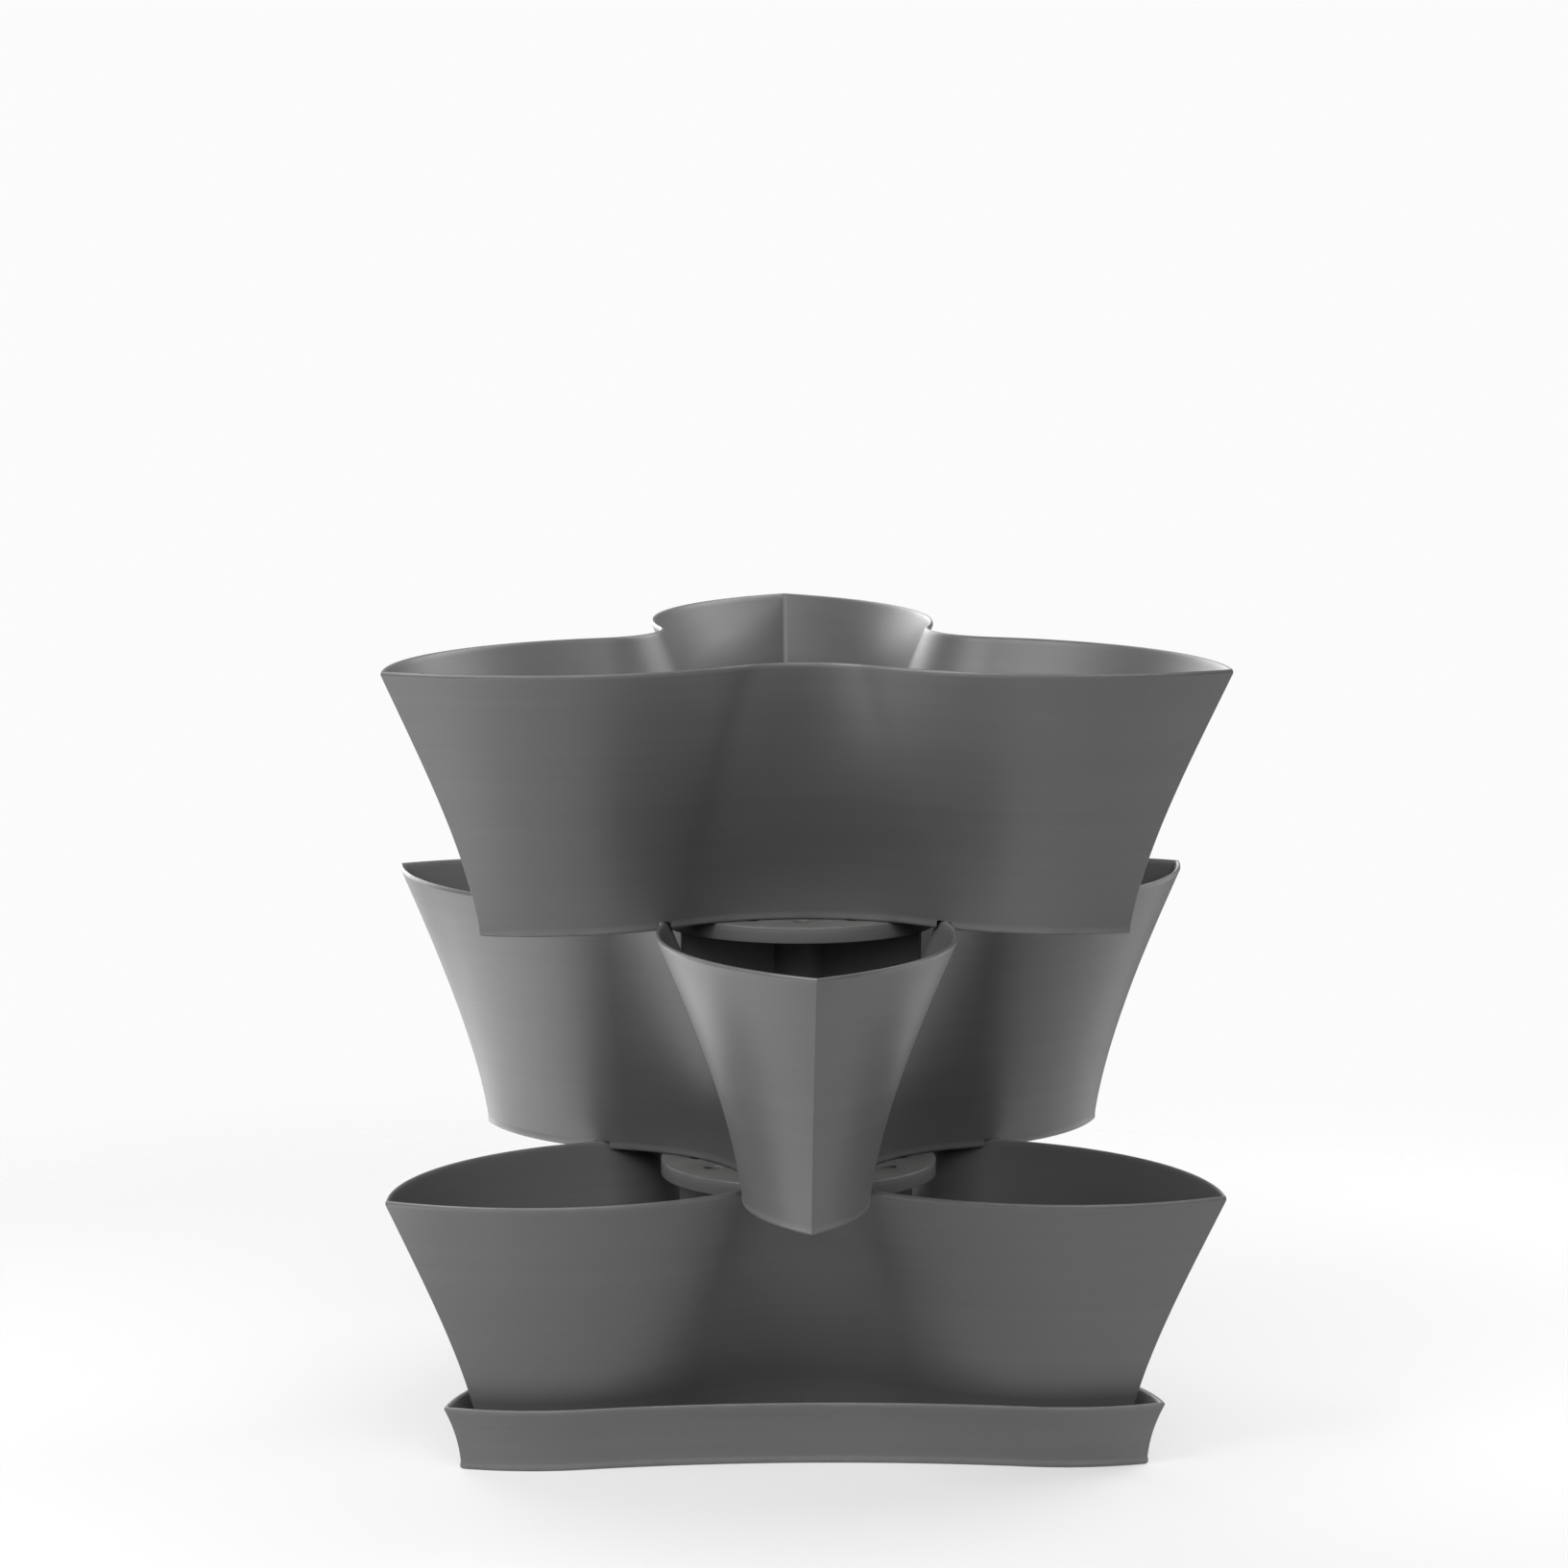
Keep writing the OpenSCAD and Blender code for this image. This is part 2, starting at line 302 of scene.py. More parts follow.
def pot_section(pot, fineness):
    """A pot's section as rows of (inset, height): floor's underside, foot, wall, rim and inside.

    The wall follows pot_inset, and every edge is a quarter round.
    """
    inset_at = partial(pot_inset, pot)
    a = quarter(3)
    inner = inset_at(0) + pot.wall
    under = [[inset_at(pot.nest) + pot.wall, pot.nest]]
    foot_in = np.stack([inner - FINE_EDGE * (1 - np.cos(a)), FINE_EDGE * (1 - np.sin(a))], -1)
    a = quarter()
    z = pot.foot_edge * (1 - np.cos(a))
    foot_out = np.stack([inset_at(z) + pot.foot_edge * (1 - np.sin(a)), z], -1)
    z = pot.foot_edge + (pot.height - pot.rim_drop - pot.foot_edge) * spread(12 * fineness, 0.004)[1:-1]
    z = np.unique(np.concatenate([z, pot.nest + FINE_EDGE * np.arange(-1, 2)]))
    wall = np.stack([inset_at(z), z], -1)
    outside, inside = rim_rows(inset_at, pot.height, pot, pot.rim_round, pot.rim_drop)
    floor_z = pot.nest + pot.floor
    inner_wall = inner_rows(inset_at, pot.height, pot.wall, pot.rim_edge, floor_z, pot.fillet, 8 * fineness)
    return in_three([under, foot_in], [foot_out, wall, outside], [inside, inner_wall])


def saucer_section(saucer, pot, fineness):
    """The saucer's section: the underside, the rounded foot band, the curved wall, the rim and the floor.

    Over the height of two blends the inset goes from the band's to the wall's as t^2 (3 - 2t).
    """
    inset_at = partial(saucer_inset, saucer)
    band = float(inset_at(saucer.band_h)) - saucer.band_out
    a = quarter(3)
    ring = band + saucer.band_w
    under = [[ring, saucer.band_h], [ring, FINE_EDGE]]
    ring_in = np.stack([ring - FINE_EDGE * (1 - np.cos(a)), FINE_EDGE * (1 - np.sin(a))], -1)[1:]
    a = quarter()
    ring_out = np.stack([band + saucer.band_edge * (1 - np.sin(a)), saucer.band_edge * (1 - np.cos(a))], -1)
    t = spread(8)
    low = saucer.band_h + saucer.band_blend
    z = low - 2 * saucer.band_blend * (1 - t)
    shelf = np.stack([band + (inset_at(z) - band) * (t * t * (3 - 2 * t)), z], -1)
    z = low + (saucer.height - saucer.rim_drop - low) * spread(6 * fineness, 0.01)[1:-1]
    wall = np.stack([inset_at(z), z], -1)
    outside, inside = rim_rows(inset_at, saucer.height, pot, saucer.rim_round, saucer.rim_drop)
    inner_wall = inner_rows(
        inset_at, saucer.height, pot.wall, pot.rim_edge, saucer.seat, pot.fillet, 3 * fineness)
    return in_three([under, ring_in], [ring_out, shelf, wall, outside], [inside, inner_wall])


def new_mesh(name, vertices, faces):
    """A mesh object at the origin. Faces are an array with a row for each face, or a list of such arrays."""
    mesh = bpy.data.meshes.new(name)
    if isinstance(faces, list):
        sizes = np.concatenate([np.full(len(f), f.shape[1]) for f in faces])
        corners = np.concatenate([f.ravel() for f in faces])
    else:
        sizes, corners = np.full(len(faces), faces.shape[1]), faces.ravel()
    mesh.vertices.add(len(vertices))
    mesh.vertices.foreach_set("co", np.asarray(vertices, np.float32).ravel())
    mesh.loops.add(len(corners))
    mesh.loops.foreach_set("vertex_index", corners.astype(np.int32))
    mesh.polygons.add(len(sizes))
    mesh.polygons.foreach_set("loop_start", np.concatenate([[0], np.cumsum(sizes)[:-1]]).astype(np.int32))
    mesh.update(calc_edges=True)
    mesh.validate()
    obj = bpy.data.objects.new(name, mesh)
    bpy.context.scene.collection.objects.link(obj)
    return obj


def tube_faces(rows, columns):
    """Quads between neighbouring rings, and fans about two more points that close the first and last."""
    i, j = np.meshgrid(np.arange(rows - 1), np.arange(columns), indexing="ij")
    k = (j + 1) % columns
    quads = np.stack([i * columns + j, i * columns + k, (i + 1) * columns + k, (i + 1) * columns + j], -1)
    j = np.arange(columns)
    k = (j + 1) % columns
    middle, last = rows * columns, (rows - 1) * columns
    first_fan = np.stack([np.full(columns, middle), k, j], -1)
    last_fan = np.stack([np.full(columns, middle + 1), last + j, last + k], -1)
    return [quads.reshape(-1, 4), np.concatenate([first_fan, last_fan])]


def turned(points, angle, base=0.0):
    """The points turned about Z, and raised by the base."""
    c, s = math.cos(angle), math.sin(angle)
    return points @ np.array([[c, s, 0], [-s, c, 0], [0, 0, 1]]) + [0, 0, base]


def at_heights(rings, z):
    """Rings of XY points with one height for each ring."""
    return np.concatenate([rings, np.broadcast_to(z[:, None, None], rings.shape[:2] + (1,))], -1)


def shell_points(sizes, valley_at, fineness, section, outer_from, inner_from):
    """The surface p(u, v): point u of the trefoil whose inset and height the section gives at v.

    The trefoil's tips have the ridge's radius on the outer face and the groove's elsewhere.
    """
    rows = np.arange(len(section))
    ridge = np.where((rows >= outer_from) & (rows < inner_from), sizes.ridge, sizes.groove)
    return at_heights(trefoil(sizes, section[:, 0], valley_at, ridge, fineness), section[:, 1])


def closed_shell(name, grid, place):
    """A closed object from a grid of rings, closed at both ends on the axis, and moved by place."""
    rows, columns = grid.shape[:2]
    ends = np.array([[0, 0, grid[0, 0, 2]], [0, 0, grid[-1, 0, 2]]])
    return new_mesh(name, place(np.concatenate([grid.reshape(-1, 3), ends])), tube_faces(rows, columns))


def revolved(profile, steps, centre=(0.0, 0.0)):
    """Rings of radius r and height z about a vertical axis, for each (r, z) of the profile."""
    a = np.linspace(0.0, 2 * math.pi, steps, endpoint=False)
    profile = np.asarray(profile, float)
    x = centre[0] + profile[:, 0][:, None] * np.cos(a)
    y = centre[1] + profile[:, 0][:, None] * np.sin(a)
    return at_heights(np.stack([x, y], -1), profile[:, 1])


def joined(parts):
    """Vertices and faces of several closed grids as one mesh's arrays."""
    vertices, quads, triangles, base = [], [], [], 0
    for grid in parts:
        rows, columns = grid.shape[:2]
        ends = np.array([[*end[:, :2].mean(0), end[0, 2]] for end in (grid[0], grid[-1])])
        q, t = tube_faces(rows, columns)
        vertices.append(np.concatenate([grid.reshape(-1, 3), ends]))
        quads.append(q + base)
        triangles.append(t + base)
        base += rows * columns + 2
    return np.concatenate(vertices), [np.concatenate(quads), np.concatenate(triangles)]


def combine(obj, tool, operation):
    """Applies one boolean of the tool to obj and deletes the tool."""
    modifier = obj.modifiers.new("combine", "BOOLEAN")
    modifier.operation = operation
    modifier.object = tool
    modifier.solver = "MANIFOLD"
    bpy.context.view_layer.update()
    evaluated = obj.evaluated_get(bpy.context.evaluated_depsgraph_get())
    mesh = bpy.data.meshes.new_from_object(evaluated)
    obj.modifiers.clear()
    old = obj.data
    obj.data = mesh
    mesh.name = obj.name
    bpy.data.meshes.remove(old)
    bpy.data.objects.remove(tool)
    if len(mesh.polygons) == 0:
        raise RuntimeError(f"the boolean of {obj.name} came out empty")


def hole_tool(radius, z_low, z_high, edge, centre):
    """A round cutter through a plate from z_low to z_high that widens by a quarter round at both faces."""
    a = quarter(4)
    lower = np.stack([radius + edge * (1 - np.sin(a)), z_low + edge * (1 - np.cos(a))], -1)
    upper = lower[::-1] * [1, -1] + [0, z_low + z_high]
    ends = radius + edge
    profile = np.concatenate([[[ends, z_low - 2 * OVERCUT]], lower, upper, [[ends, z_high + 2 * OVERCUT]]])
    return revolved(profile, 40, centre)


def weld(obj):
    """Joins corners that the cutters left all but on one another, and drops the faces that this closes up."""
    work = bmesh.new()
    work.from_mesh(obj.data)
    bmesh.ops.remove_doubles(work, verts=work.verts, dist=WELD)
    bmesh.ops.dissolve_degenerate(work, edges=work.edges, dist=WELD)
    work.to_mesh(obj.data)
    work.free()


def smooth_by_angle(obj):
    """Smooth faces, with an edge kept sharp where its two faces turn by more than SHARP_FROM.

    Raises an error where an edge doesn't join two faces, since every piece is closed.
    """
    mesh = obj.data
    mesh.polygons.foreach_set("use_smooth", np.ones(len(mesh.polygons), bool))
    normals = np.zeros(len(mesh.polygons) * 3, np.float32)
    mesh.polygons.foreach_get("normal", normals)
    normals = normals.reshape(-1, 3)
    edge_of_loop = np.zeros(len(mesh.loops), np.int32)
    mesh.loops.foreach_get("edge_index", edge_of_loop)
    starts = np.zeros(len(mesh.polygons), np.int32)
    mesh.polygons.foreach_get("loop_start", starts)
    face_of_loop = np.zeros(len(mesh.loops), np.int32)
    face_of_loop[starts] = 1
    face_of_loop = np.cumsum(face_of_loop) - 1
    order = np.argsort(edge_of_loop, kind="stable")
    edges, first, count = np.unique(edge_of_loop[order], return_index=True, return_counts=True)
    if len(edges) < len(mesh.edges) or np.any(count != 2):
        raise RuntimeError(f"{obj.name} has edges that don't join two faces")
    one, other = face_of_loop[order[first]], face_of_loop[order[first + 1]]
    sharp = (normals[one] * normals[other]).sum(1) < math.cos(SHARP_FROM)
    attribute = mesh.attributes.get("sharp_edge") or mesh.attributes.new("sharp_edge", "BOOLEAN", "EDGE")
    attribute.data.foreach_set("value", sharp)
    mesh.update()


def add_marks(obj, base_z, rim_z):
    """Stores on each vertex what the material's wear and dust follow.

    under_rim and over_foot are heights in metres, and upward is the Z of the vertex's normal.
    """
    mesh = obj.data
    values = np.zeros(len(mesh.vertices) * 3, np.float32)
    mesh.vertices.foreach_get("co", values)
    z = values.reshape(-1, 3)[:, 2].copy()
    mesh.vertex_normals.foreach_get("vector", values)
    upward = values.reshape(-1, 3)[:, 2]
    for name, value in (("under_rim", rim_z - z), ("over_foot", z - base_z), ("upward", upward)):
        attribute = mesh.attributes.new(name, "FLOAT", "POINT")
        attribute.data.foreach_set("value", value.astype(np.float32))


def finish_piece(obj, material, body, node, base_z, rim_z):
    """Cleans, shades and dresses one piece, hangs it under its body's empty, and hides the CAD node that it
    replaces.
    """
    weld(obj)
    smooth_by_angle(obj)
    add_marks(obj, base_z, rim_z)
    obj.data.materials.clear()
    obj.data.materials.append(material)
    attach(obj, body)
    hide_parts(node)


class Recipe:
    """Adds nodes to one node tree, each call returning the new node's output."""

    def __init__(self, tree):
        self.tree = tree

    def node(self, kind, inputs, output=0, **settings):
        """A node of that kind, with values or links for its inputs by name or number."""
        node = self.tree.nodes.new(kind)
        for key, value in settings.items():
            setattr(node, key, value)
        for key, value in inputs.items():
            if isinstance(value, bpy.types.NodeSocket):
                self.tree.links.new(value, node.inputs[key])
            else:
                node.inputs[key].default_value = value
        return node.outputs[output]

    def noise(self, where, scale, detail=2.0, roughness=0.5, turn=(0.0, 0.0, 0.0)):
        """Noise between 0 and 1. The scale is in cells a metre: one number, or three along X, Y and Z."""
        if isinstance(scale, tuple):
            where = self.node("ShaderNodeMapping", {"Vector": where, "Rotation": turn, "Scale": scale})
            scale = 1.0
        return self.node("ShaderNodeTexNoise", {
            "Vector": where, "Scale": scale, "Detail": detail, "Roughness": roughness})

    def ranged(self, value, low, high, to_low, to_high):
        """The value from low to high, clamped, as one from to_low to to_high."""
        return self.node("ShaderNodeMapRange", {
            "Value": value, "From Min": low, "From Max": high, "To Min": to_low, "To Max": to_high})

    def eased(self, value, low, high, to_low, to_high):
        """As ranged, with a soft start and end."""
        return self.node("ShaderNodeMapRange", {
            "Value": value, "From Min": low, "From Max": high, "To Min": to_low, "To Max": to_high},
            interpolation_type="SMOOTHSTEP")

    def about(self, noise, middle, swing):
        """Noise as a value that keeps within the swing of the middle."""
        return self.ranged(noise, 0.3, 0.7, middle - swing, middle + swing)

    def mixed(self, part, one, other, blend_type="MIX"):
        """Two colours mixed, with that part of the second."""
        return self.node("ShaderNodeMix", {0: part, 6: one, 7: other}, 2,
                         data_type="RGBA", blend_type=blend_type)

    def bump(self, height, strength, distance, normal=None):
        """A normal that follows the height, on top of another bump's if its normal is given."""
        inputs = {"Height": height, "Strength": strength, "Distance": distance}
        return self.node("ShaderNodeBump", {**inputs, "Normal": normal} if normal else inputs)

    def calc(self, operation, one, other):
        """One sum, product or the like of two values."""
        return self.node("ShaderNodeMath", {0: one, 1: other}, operation=operation)

    def product(self, first, *others):
        """The product of all the values."""
        for other in others:
            first = self.calc("MULTIPLY", first, other)
        return first

    def attribute(self, name):
        """A number that the mesh stores on its vertices."""
        return self.node("ShaderNodeAttribute", {}, "Fac", attribute_name=name)


# Metres under the rim, and over the foot, where the worn and painted-highlight edge begins and ends
RIM_WEAR_AND_HIGHLIGHT = (0.0006, 0.0030)
FOOT_WEAR_AND_HIGHLIGHT = (0.0022, 0.0045)
DUST_COLOUR = (0.42, 0.40, 0.37, 1.0)


def moulded_plastic(name, colour, finish):
    """Matt injection-moulded plastic, new but handled.

    Colour: the given one times faint level tool lines, bands, grain and clouds, darker in a few small specks,
    lighter along the rims and feet, which are worn and carry a painted highlight, in stray scratches, and
    under thin dust on what faces up.
    Roughness: less on the worn rims and feet, more in the dust. Relief: fine grain, tool lines and scratches.
    """
    material = bpy.data.materials.new(name)
    material.use_nodes = True
    r = Recipe(material.node_tree)
    shader = r.tree.nodes["Principled BSDF"]
    shader.inputs["IOR"].default_value = 1.49
    where = r.node("ShaderNodeTexCoord", {}, "Object")

    lines = r.noise(where, (6.0, 6.0, 1300.0), 3.0, 0.6)
    bands = r.noise(where, (3.0, 3.0, 160.0))
    clouds = r.noise(where, 14.0, 4.0, 0.55)
    blotches = r.noise(where, 75.0, 5.0, 0.6)
    grain = r.noise(where, 2400.0)

    # Rims and feet: worn plastic, and a painted highlight along their edges, in one mask
    rim = r.ranged(r.attribute("under_rim"), *RIM_WEAR_AND_HIGHLIGHT, 1.0, 0.0)
    foot = r.ranged(r.attribute("over_foot"), *FOOT_WEAR_AND_HIGHLIGHT, 1.0, 0.0)
    rubbed_and_highlit = r.product(r.calc("MAXIMUM", rim, foot), r.ranged(blotches, 0.36, 0.60, 0.45, 1.0))
    fine = r.noise(where, (90.0, 90.0, 1900.0), turn=(0.5, 0.35, 0.0))
    scratches = r.product(r.ranged(fine, 0.70, 0.76, 0.0, 1.0), r.ranged(clouds, 0.55, 0.62, 0.0, 1.0))
    facing_up = r.ranged(r.attribute("upward"), 0.5, 0.95, 0.0, 1.0)
    dust = r.product(facing_up, r.ranged(blotches, 0.35, 0.7, 0.25, 1.0))

    cell = {"Vector": where, "Scale": 55.0}
    chosen = r.ranged(r.node("ShaderNodeTexVoronoi", cell, "Color"), 0.93, 0.935, 0.0, 1.0)
    near = r.ranged(r.node("ShaderNodeTexVoronoi", cell, "Distance"), 0.020, 0.034, 1.0, 0.0)

    shade = r.product(
        r.about(lines, 1.0, finish.lines), r.about(bands, 1.0, 0.025),
        r.about(grain, 1.0, finish.grain), r.about(clouds, 1.0, 0.025),
        r.ranged(r.product(chosen, near), 0.0, 1.0, 1.0, 0.4),
        # Lighter rims and feet: worn plastic, and a painted highlight
        r.ranged(rubbed_and_highlit, 0.0, 1.0, 1.0, 1.0 + finish.wear_and_highlight), r.ranged(scratches, 0.0, 1.0, 1.0, 1.06))
    grey = r.node("ShaderNodeCombineColor", {0: shade, 1: shade, 2: shade})
    base = r.mixed(1.0, (*colour, 1.0), grey, "MULTIPLY")
    dusty = r.mixed(r.product(dust, finish.dust), base, DUST_COLOUR)
    r.tree.links.new(dusty, shader.inputs["Base Color"])

    worn = r.calc("ADD", r.about(clouds, finish.roughness, 0.03), r.product(dust, 0.12))
    r.tree.links.new(r.calc("SUBTRACT", worn, r.product(rubbed_and_highlit, 0.10)), shader.inputs["Roughness"])

    relief = r.bump(grain, 0.5, 0.00006)
    relief = r.bump(lines, 0.4, 0.00005, relief)
    relief = r.bump(scratches, 0.4, 0.00003, relief)
    r.tree.links.new(relief, shader.inputs["Normal"])
    return material


class PLANTER_OT_saucer(bpy.types.Operator):
    """Makes the saucer: a low trefoil tray with a foot band."""

    bl_idname = "planter.saucer"
    bl_label = "Make saucer"

    def execute(self, context):
        p = context.scene.planter
        section = saucer_section(p.saucer, p.pot, p.fineness)
        grid = shell_points(p.trefoil, p.trefoil.saucer_valley, p.fineness, *section)
        saucer = closed_shell("saucer_shell", grid, partial(turned, angle=QUARTER))
        # The saucer's lighter colour is painted light on its wall
        material = moulded_plastic("saucer_plastic", p.finish.saucer, p.finish)
        finish_piece(saucer, material, "saucer", "saucer", 0.0, p.saucer.height)
        return {"FINISHED"}


class PLANTER_OT_pots(bpy.types.Operator):
    """Makes the three pots: one shell, with slots in its foot for the rim below and drain holes."""

    bl_idname = "planter.pots"
    bl_label = "Make pots"

    def execute(self, context):
        p = context.scene.planter
        grid = shell_points(p.trefoil, p.trefoil.pot_valley, p.fineness, *pot_section(p.pot, p.fineness))
        material = moulded_plastic("pot_plastic_skin", p.finish.pot, p.finish)
        for level, body in enumerate(LEVELS):
            base = p.saucer.seat + level * pitch_of(p.pot)
            place = partial(turned, angle=QUARTER + VALLEY_TURN * (level % 2), base=base)
            shell = closed_shell(body + "_shell", grid, place)
            combine(shell, rim_slots(p, place), "DIFFERENCE")
            combine(shell, drain_tools(p, place), "DIFFERENCE")
            finish_piece(shell, material, body, body, base, base + p.pot.height)
        return {"FINISHED"}


def rim_slots(p, place):
    """The band that the rim below needs: past its outer and its inner wall by the slot's gap."""
    pot, t = p.pot, p.trefoil
    low, high = -OVERCUT, pot.nest + OVERCUT / 10
    outer = -pot.slot_gap
    inner = float(pot_inset(pot, pitch_of(pot))) + pot.wall + pot.slot_gap
    rings = trefoil(t, [inner, outer, outer, inner], t.pot_valley, t.ridge, p.fineness)
    grid = at_heights(rings, np.array([low, low, high, high]))
    rows, columns = grid.shape[:2]
    i, j = np.meshgrid(np.arange(rows), np.arange(columns), indexing="ij")
    this, following, k = i * columns, (i + 1) % rows * columns, (j + 1) % columns
    quads = np.stack([this + j, this + k, following + k, following + j], -1).reshape(-1, 4)
    return new_mesh("slot_tool", place(turned(grid.reshape(-1, 3), VALLEY_TURN)), quads)


def drain_tools(p, place):
    """Cutters for three holes at the root of each lobe."""
    pot = p.pot
    inner, half = pot.drain_at - pot.drain_step, pot.drain_pair / 2
    spots = np.array([[pot.drain_at, 0, 0], [inner, half, 0], [inner, -half, 0]])
    spots = np.concatenate([turned(spots, LOBE_TURN * k) for k in range(LOBES)])
    low, high = pot.nest, pot.nest + pot.floor
    tools = [hole_tool(pot.drain, low, high, HOLE_EDGE, s[:2]) for s in spots]
    vertices, faces = joined(tools)
    return new_mesh("drain_tool", place(vertices), faces)


class PLANTER_OT_supports(bpy.types.Operator):
    """Makes the two supports: a perforated deck with a lip, on three fins round a tube."""

    bl_idname = "planter.supports"
    bl_label = "Make supports"

    def execute(self, context):
        p = context.scene.planter
        pitch = pitch_of(p.pot)
        material = moulded_plastic("support_plastic_skin", p.finish.support, p.finish)
        for level, body in enumerate(SUPPORTS):
            base = p.saucer.seat + level * pitch
            place = partial(turned, angle=QUARTER + VALLEY_TURN * (level % 2 + 1), base=base)
            deck = deck_shell(p, body + "_shell", place)
            combine(deck, tube_shell(p, place), "UNION")
            for k in range(LOBES):
                combine(deck, fin_shell(p, k, place), "UNION")
            combine(deck, deck_tools(p, place), "DIFFERENCE")
            finish_piece(deck, material, body, body, base, base + pitch)
        return {"FINISHED"}


def deck_shell(p, name, place):
    """The deck and its lip: a section with quarter rounds at its edges, revolved about the axis.

    The section starts at the middle's radius, and flat fans close the deck inside it.
    """
    s, top = p.support, pitch_of(p.pot)
    e = s.edge
    a = quarter(3)
    under, low = top - s.deck_t, top - s.lip_h
    inner, middle = s.deck - s.lip_t, 0.02
    corner = np.stack([inner - e * (1 - np.sin(a)), under - e * (1 - np.cos(a))], -1)
    lip_in = np.stack([inner + e * (1 - np.cos(a)), low + e * (1 - np.sin(a))], -1)
    lip_out = np.stack([s.deck - e * (1 - np.sin(a)), low + e * (1 - np.cos(a))], -1)
    edge = np.stack([s.deck - e * (1 - np.cos(a)), top - e * (1 - np.sin(a))], -1)
    profile = np.concatenate([[[middle, under]], corner, lip_in, lip_out, edge, [[middle, top]]])
    return closed_shell(name, revolved(profile, 144), place)


def tube_shell(p, place):
    """The tube, closed, from its lifted end into the deck."""
    s = p.support
    low = p.pot.nest + p.pot.floor + s.tube_lift
    high = pitch_of(p.pot) - s.deck_t / 2
    a = quarter(3)
    foot = np.stack([s.tube - s.edge * (1 - np.sin(a)), low + s.edge * (1 - np.cos(a))], -1)
    return closed_shell("tube_tool", revolved(np.concatenate([foot, [[s.tube, high]]]), 72), place)


def fin_shell(p, k, place):
    """One fin: a plate from the tube out to the valley's wall.

    At each height it reaches the least distance of the inner wall from the axis, less the gap, but no further
    than the middle of the lip. Its outer edge is two quarter rounds.
    """
    s, pot, t = p.support, p.pot, p.trefoil
    z = np.linspace(pot.nest + pot.floor, pitch_of(pot) - s.deck_t / 2, 25)
    wall = trefoil(t, pot_inset(pot, z) + pot.wall, t.pot_valley, t.groove, p.fineness)
    valley = np.hypot(wall[..., 0], wall[..., 1]).min(1)
    reach = np.minimum(valley - s.fin_gap, s.deck - s.lip_t / 2)
    e = s.edge
    a = np.linspace(0.0, math.pi, 7)
    half = s.fin_t / 2
    nose = np.stack([e * np.sin(a) - e, np.where(a < QUARTER, -1, 1) * (half - e) - e * np.cos(a)], -1)
    back = np.full((len(z), 1), s.tube - s.tube_wall / 2)
    x = np.concatenate([back, reach[:, None] + nose[None, :, 0], back], 1)
    y = np.broadcast_to(np.concatenate([[-half], nose[:, 1], [half]]), x.shape)
    vertices, faces = joined([at_heights(np.stack([x, y], -1), z)])
    return new_mesh("fin_tool", place(turned(vertices, LOBE_TURN * k)), faces)


def deck_tools(p, place):
    """Cutters for the tube's bore, and for one inner and three outer holes between each two fins."""
    s, high = p.support, pitch_of(p.pot)
    low = high - s.deck_t
    spots = [(s.hole_at, 0.0)] + [(s.hole_at + s.hole_step, VALLEY_TURN / 2 * i) for i in (-1, 0, 1)]
    tools = []
    for k in range(LOBES):
        for r, a in spots:
            a += VALLEY_TURN + LOBE_TURN * k
            tools.append(hole_tool(s.hole, low, high, FINE_EDGE, (r * math.cos(a), r * math.sin(a))))
    bore_low = p.pot.nest + p.pot.floor + s.tube_lift
    tools.append(hole_tool(s.tube - s.tube_wall, bore_low, high, HOLE_EDGE, (0.0, 0.0)))
    vertices, faces = joined(tools)
    return new_mesh("deck_tool", place(vertices), faces)


class PLANTER_OT_stage(bpy.types.Operator):
    """Makes the floor, the backdrop, the lamps and the camera."""

    bl_idname = "planter.stage"
    bl_label = "Make stage"

    def execute(self, context):
        stage = context.scene.planter.stage
        make_floor(stage)
        make_world(stage)
        make_lamps()
        make_camera()
        context.scene.view_settings.view_transform = "Standard"
        return {"FINISHED"}


def make_floor(stage):
    """A round floor of rings about a middle point, which fades out so that no horizon shows."""
    rings, spokes = 24, 96
    r = np.geomspace(0.3, 1.5, rings)[:, None]
    a = np.linspace(0.0, 2 * math.pi, spokes, endpoint=False)
    grid = at_heights(np.stack([r * np.cos(a), r * np.sin(a)], -1), np.zeros(rings))
    vertices = np.concatenate([grid.reshape(-1, 3), [[0.0, 0.0, 0.0]]])
    i, j = np.meshgrid(np.arange(rings - 1), np.arange(spokes), indexing="ij")
    inner, outer, k = i * spokes, (i + 1) * spokes, (j + 1) % spokes
    quads = np.stack([inner + j, outer + j, outer + k, inner + k], -1).reshape(-1, 4)
    j = np.arange(spokes)
    fan = np.stack([j, (j + 1) % spokes, np.full(spokes, rings * spokes)], -1)
    floor = new_mesh("floor", vertices, [quads, fan])
    material = bpy.data.materials.new("floor_white")
    material.use_nodes = True
    tree = material.node_tree
    shader = tree.nodes["Principled BSDF"]
    shader.inputs["Base Color"].default_value = (*stage.floor_colour, 1.0)
    shader.inputs["Roughness"].default_value = 0.9
    shader.inputs["Specular IOR Level"].default_value = 0.2
    r = Recipe(tree)
    where = r.node("ShaderNodeTexCoord", {}, "Object")
    far = r.node("ShaderNodeVectorMath", {0: where}, "Value", operation="LENGTH")
    fade = r.eased(far, stage.fade_from, stage.fade_to, 0.0, 1.0)
    clear = r.node("ShaderNodeBsdfTransparent", {})
    veil = r.calc("MULTIPLY", r.node("ShaderNodeLightPath", {}, "Is Camera Ray"), stage.veil)
    mix = r.node("ShaderNodeMixShader", {0: r.calc("MAXIMUM", fade, veil), 1: shader.outputs[0], 2: clear})
    tree.links.new(mix, tree.nodes["Material Output"].inputs["Surface"])
    floor.data.materials.append(material)


# The room's light goes from the camera's side to the far side between these values of the direction's Y
ROOM_TURN = (-0.3, 0.9)

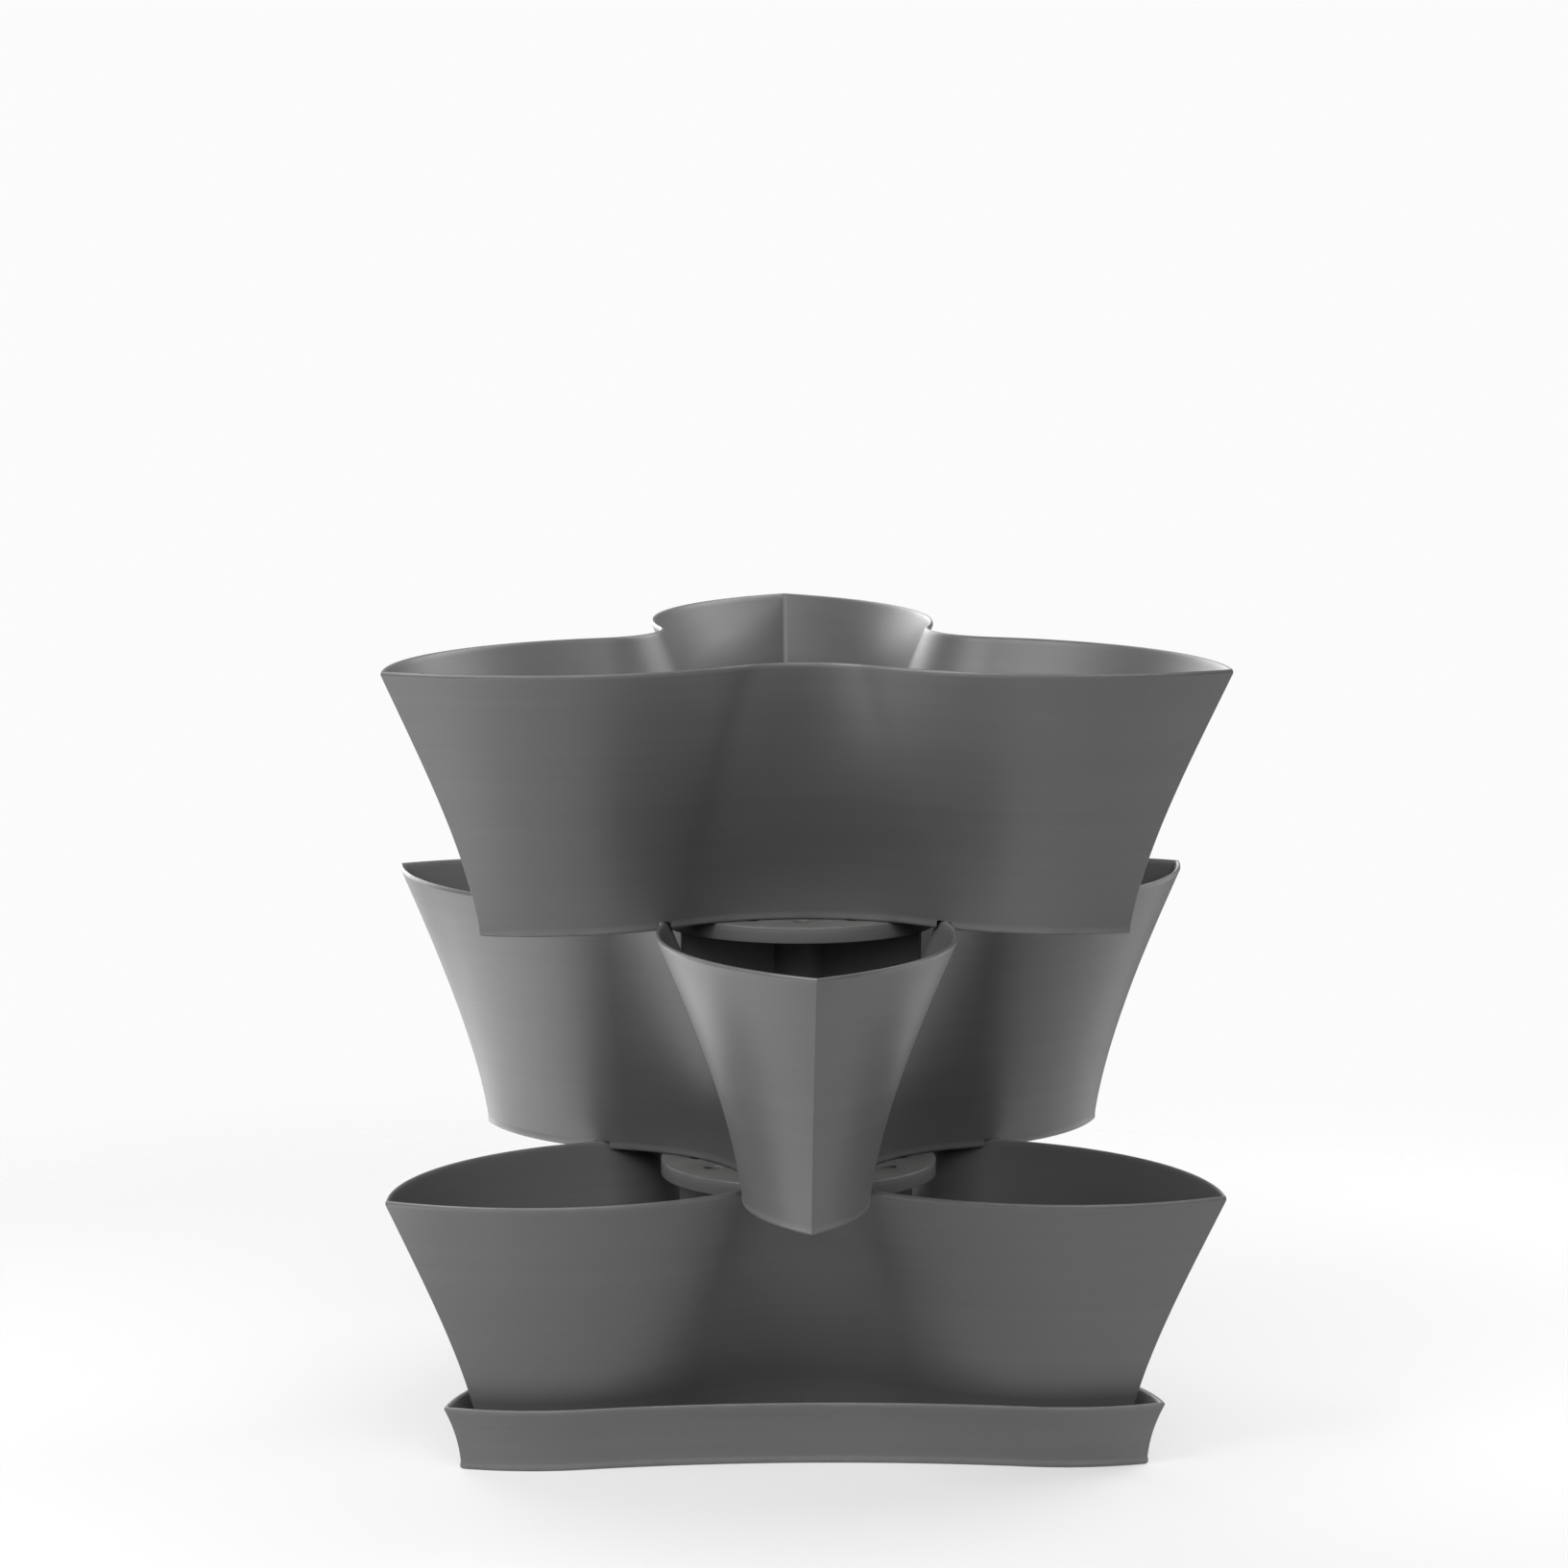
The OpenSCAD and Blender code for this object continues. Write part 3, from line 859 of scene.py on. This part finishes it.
# Azimuth, elevation and half width in degrees, and the strength in the middle
SOFTBOXES = [
    (120.0, 10.0, 36.0, 4.3),
    (30.0, -15.0, 36.0, 1.4),
    (240.0, -40.0, 36.0, 0.7),
    (335.0, -40.0, 36.0, 1.5),
    (270.0, 38.0, 34.0, 1.7),
    (300.0, 38.0, 34.0, 1.5),
    (90.0, 45.0, 50.0, 0.5),
]


def make_world(stage):
    """Plain white for the camera, and for the rest a room with soft boxes, each a smooth round spot."""
    world = bpy.data.worlds.new("backdrop")
    bpy.context.scene.world = world
    world.use_nodes = True
    tree = world.node_tree
    r = Recipe(tree)
    light = tree.nodes["Background"]
    light.inputs["Color"].default_value = (1.0, 1.0, 1.0, 1.0)
    way = r.node("ShaderNodeTexCoord", {}, "Generated")
    room = r.eased(r.node("ShaderNodeSeparateXYZ", {0: way}, "Y"), *ROOM_TURN, stage.ahead, stage.behind)
    for azimuth, elevation, half, strength in SOFTBOXES:
        a, e = math.radians(azimuth), math.radians(elevation)
        toward = (math.cos(a) * math.cos(e), math.sin(a) * math.cos(e), math.sin(e))
        near = r.node("ShaderNodeVectorMath", {0: way, 1: toward}, "Value", operation="DOT_PRODUCT")
        glow = r.eased(near, math.cos(math.radians(half)), 1.0, 0.0, strength)
        room = r.calc("ADD", room, glow)
    tree.links.new(room, light.inputs["Strength"])
    seen = r.node("ShaderNodeBackground", {"Color": (stage.backdrop,) * 3 + (1.0,), "Strength": 1.0})
    path = r.node("ShaderNodeLightPath", {}, "Is Camera Ray")
    mix = r.node("ShaderNodeMixShader", {0: path, 1: light.outputs[0], 2: seen})
    tree.links.new(mix, tree.nodes["World Output"].inputs["Surface"])


# Name, place, the point that it faces, width and depth in metres, power in watts
LAMPS = [
    ("left_lamp", (-0.869, -0.679, 1.062), (0.0, 0.0, 0.2), 0.9, 0.9, 14.2),
    ("back_right_lamp", (0.929, 0.536, 1.100), (0.0, 0.0, 0.2), 0.9, 0.9, 11.6),
    ("floor_left_lamp", (-0.55, -0.06, 0.004), (-0.55, -0.06, 1.0), 0.5, 1.2, 3.1),
]


def make_lamps():
    """Rectangular lamps, each turned towards a point. The low one stands for a bright floor."""
    for name, place, faces, width, depth, power in LAMPS:
        lamp = bpy.data.lights.new(name, "AREA")
        lamp.shape = "RECTANGLE"
        lamp.size, lamp.size_y, lamp.energy = width, depth, power
        obj = bpy.data.objects.new(name, lamp)
        obj.location = place
        obj.rotation_euler = (Vector(place) - Vector(faces)).to_track_quat("Z", "Y").to_euler()
        obj.visible_camera = False
        bpy.context.scene.collection.objects.link(obj)


# The view: place in metres, then yaw, pitch and roll in degrees, and the focal length in picture widths
CAMERA_AT = (-0.0961, -2.7081, 0.7025)
CAMERA_YAW, CAMERA_PITCH, CAMERA_ROLL = 1.874, 7.971, 0.080
CAMERA_FOCAL = 5725.5 / 1633
SENSOR_MM = 36.0


def make_camera():
    """A camera that looks along +Y turned right by the yaw and down by the pitch, and is rolled."""
    yaw, pitch, roll = (math.radians(v) for v in (CAMERA_YAW, CAMERA_PITCH, CAMERA_ROLL))
    ahead = Vector((math.sin(yaw) * math.cos(pitch), math.cos(yaw) * math.cos(pitch), -math.sin(pitch)))
    right = Vector((math.cos(yaw), -math.sin(yaw), 0.0))
    up = right.cross(ahead)
    right, up = right * math.cos(roll) + up * math.sin(roll), up * math.cos(roll) - right * math.sin(roll)
    camera = bpy.data.objects.new("camera", bpy.data.cameras.new("camera"))
    camera.data.sensor_width = SENSOR_MM
    camera.data.lens = SENSOR_MM * CAMERA_FOCAL
    camera.matrix_world = Matrix((
        (right.x, up.x, -ahead.x, CAMERA_AT[0]),
        (right.y, up.y, -ahead.y, CAMERA_AT[1]),
        (right.z, up.z, -ahead.z, CAMERA_AT[2]),
        (0.0, 0.0, 0.0, 1.0)))
    bpy.context.scene.collection.objects.link(camera)
    bpy.context.scene.camera = camera


class PLANTER_PT_panel(bpy.types.Panel):
    """Lists the makers and the sizes."""

    bl_label = "Planter"
    bl_space_type = "VIEW_3D"
    bl_region_type = "UI"
    bl_category = "Planter"

    def draw(self, context):
        planter = context.scene.planter
        for maker in MAKERS:
            self.layout.operator(maker.bl_idname)
        for name in ("trefoil", "pot", "support", "saucer", "finish", "stage"):
            part = getattr(planter, name)
            box = self.layout.box()
            for key in part.__annotations__:
                box.prop(part, key)
        self.layout.prop(planter, "fineness")


MAKERS = (PLANTER_OT_saucer, PLANTER_OT_pots, PLANTER_OT_supports, PLANTER_OT_stage)
GROUPS = (TrefoilSizes, PotSizes, SupportSizes, SaucerSizes, PlasticFinish, StageSettings, Planter)
CLASSES = (*GROUPS, *MAKERS, PLANTER_PT_panel)


def register():
    """Adds the classes, and the sizes to the scene."""
    for cls in CLASSES:
        bpy.utils.register_class(cls)
    bpy.types.Scene.planter = PointerProperty(type=Planter)


def unregister():
    """Takes them out again."""
    del bpy.types.Scene.planter
    for cls in reversed(CLASSES):
        bpy.utils.unregister_class(cls)


def main():
    """Makes every piece and the stage."""
    register()
    bpy.ops.planter.saucer()
    bpy.ops.planter.pots()
    bpy.ops.planter.supports()
    bpy.ops.planter.stage()


if __name__ == "__main__":
    main()
